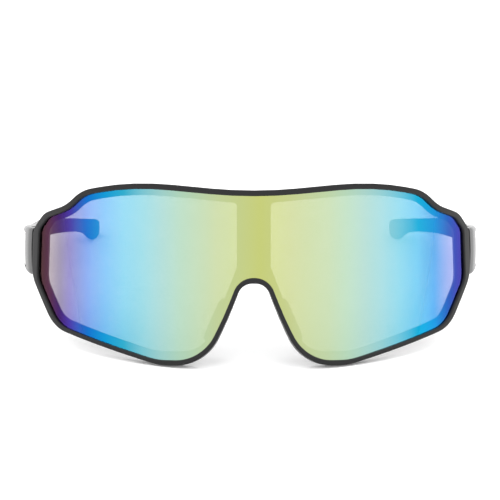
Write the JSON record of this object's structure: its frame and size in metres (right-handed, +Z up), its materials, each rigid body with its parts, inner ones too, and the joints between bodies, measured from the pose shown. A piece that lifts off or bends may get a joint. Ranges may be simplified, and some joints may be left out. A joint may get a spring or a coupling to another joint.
{
  "type": "wraparound sport sunglasses",
  "caption": "Wraparound sport sunglasses with one cylindrical mirrored shield lens in a thin black rim, nose pads and folding temples with rubber ear tips.",
  "frame": {"origin": "on the surface the glasses stand on, under the middle of their bounding box", "axes": "+X to the wearer's left, which is the right of the lens as seen from the front, +Y from the lens back towards the ear tips, +Z up; the glasses stand on the two lens lobes and the two ear tips"},
  "size_m": [0.155, 0.1672, 0.0571],
  "materials": {
    "frame": "satin black moulded nylon",
    "lens": "multicolour mirror coating, green to blue and violet",
    "pads": "matt black silicone",
    "grips": "matt black rubber",
    "inlay": "gloss black",
    "steel": "bright",
    "brass": "turned",
    "washer": "natural nylon"
  },
  "bodies": {
    "front": {"front_frame": "frame", "shield_lens": "lens", "nose_pad_left": "pads", "nose_pad_right": "pads", "hinge_screw_left": "steel", "hinge_nut_left": "brass", "hinge_washer_upper_left": "washer", "hinge_washer_lower_left": "washer", "hinge_screw_right": "steel", "hinge_nut_right": "brass", "hinge_washer_upper_right": "washer", "hinge_washer_lower_right": "washer"},
    "temple_left": {"temple_arm_left": "frame", "temple_inlay_left": "inlay", "ear_grip_left": "grips", "tip_core_left": "steel", "hinge_bushing_left": "brass"},
    "temple_right": {"temple_arm_right": "frame", "temple_inlay_right": "inlay", "ear_grip_right": "grips", "tip_core_right": "steel", "hinge_bushing_right": "brass"}
  },
  "joints": [
    {"name": "temple_fold_left", "type": "hinge", "parent": "front", "child": "temple_left", "pos_m": [0.07114, -0.03028, 0.02448], "axis": [0, 0.2572, 0.9664], "range_deg": [0, 74]},
    {"name": "temple_fold_right", "type": "hinge", "parent": "front", "child": "temple_right", "pos_m": [-0.07114, -0.03028, 0.02448], "axis": [0, -0.2572, -0.9664], "range_deg": [0, 90]}
  ]
}
